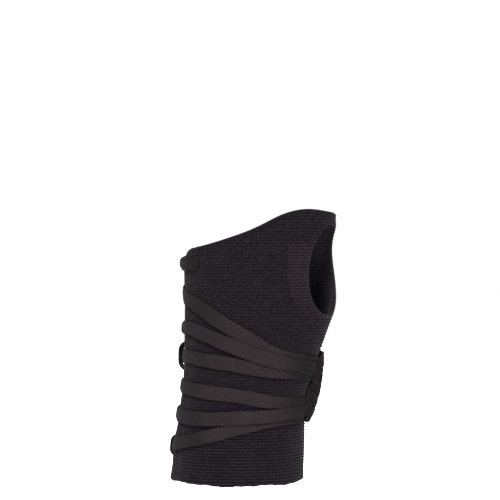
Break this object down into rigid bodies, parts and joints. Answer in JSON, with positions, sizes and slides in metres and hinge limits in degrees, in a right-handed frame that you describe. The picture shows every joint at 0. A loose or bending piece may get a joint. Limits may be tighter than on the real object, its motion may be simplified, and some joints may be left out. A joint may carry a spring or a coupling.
{
  "type": "wrist support",
  "caption": "Ribbed elastic wrist support with a thumb hole, open along the little-finger side and drawn closed by flat laces that gather into a wrap-round pull tab.",
  "frame": {"origin": "middle of the hollow at the narrowest part of the wrist, on the wrist's own axis", "axes": "+Z along the forearm towards the fingers, -Y out of the palm, +X to the thumb side"},
  "size_m": [0.0971, 0.0559, 0.1566],
  "materials": {
    "knit": "matte ribbed elastic knit",
    "tape": "matte woven binding tape",
    "lace": "matte flat woven lace",
    "tab": "matte brushed loop-pile laminate"
  },
  "bodies": {
    "root": {"sleeve": "knit", "palm_edge_binding": "tape", "back_edge_binding": "tape", "lace_top": "lace", "lace_upper": "lace", "lace_lower": "lace", "lace_bottom": "lace", "lace_loop_1": "tape", "lace_loop_2": "tape", "lace_loop_3": "tape", "lace_loop_4": "tape", "lace_loop_5": "tape", "lace_loop_6": "tape", "lace_loop_7": "tape", "pull_tab": "tab"}
  },
  "joints": []
}
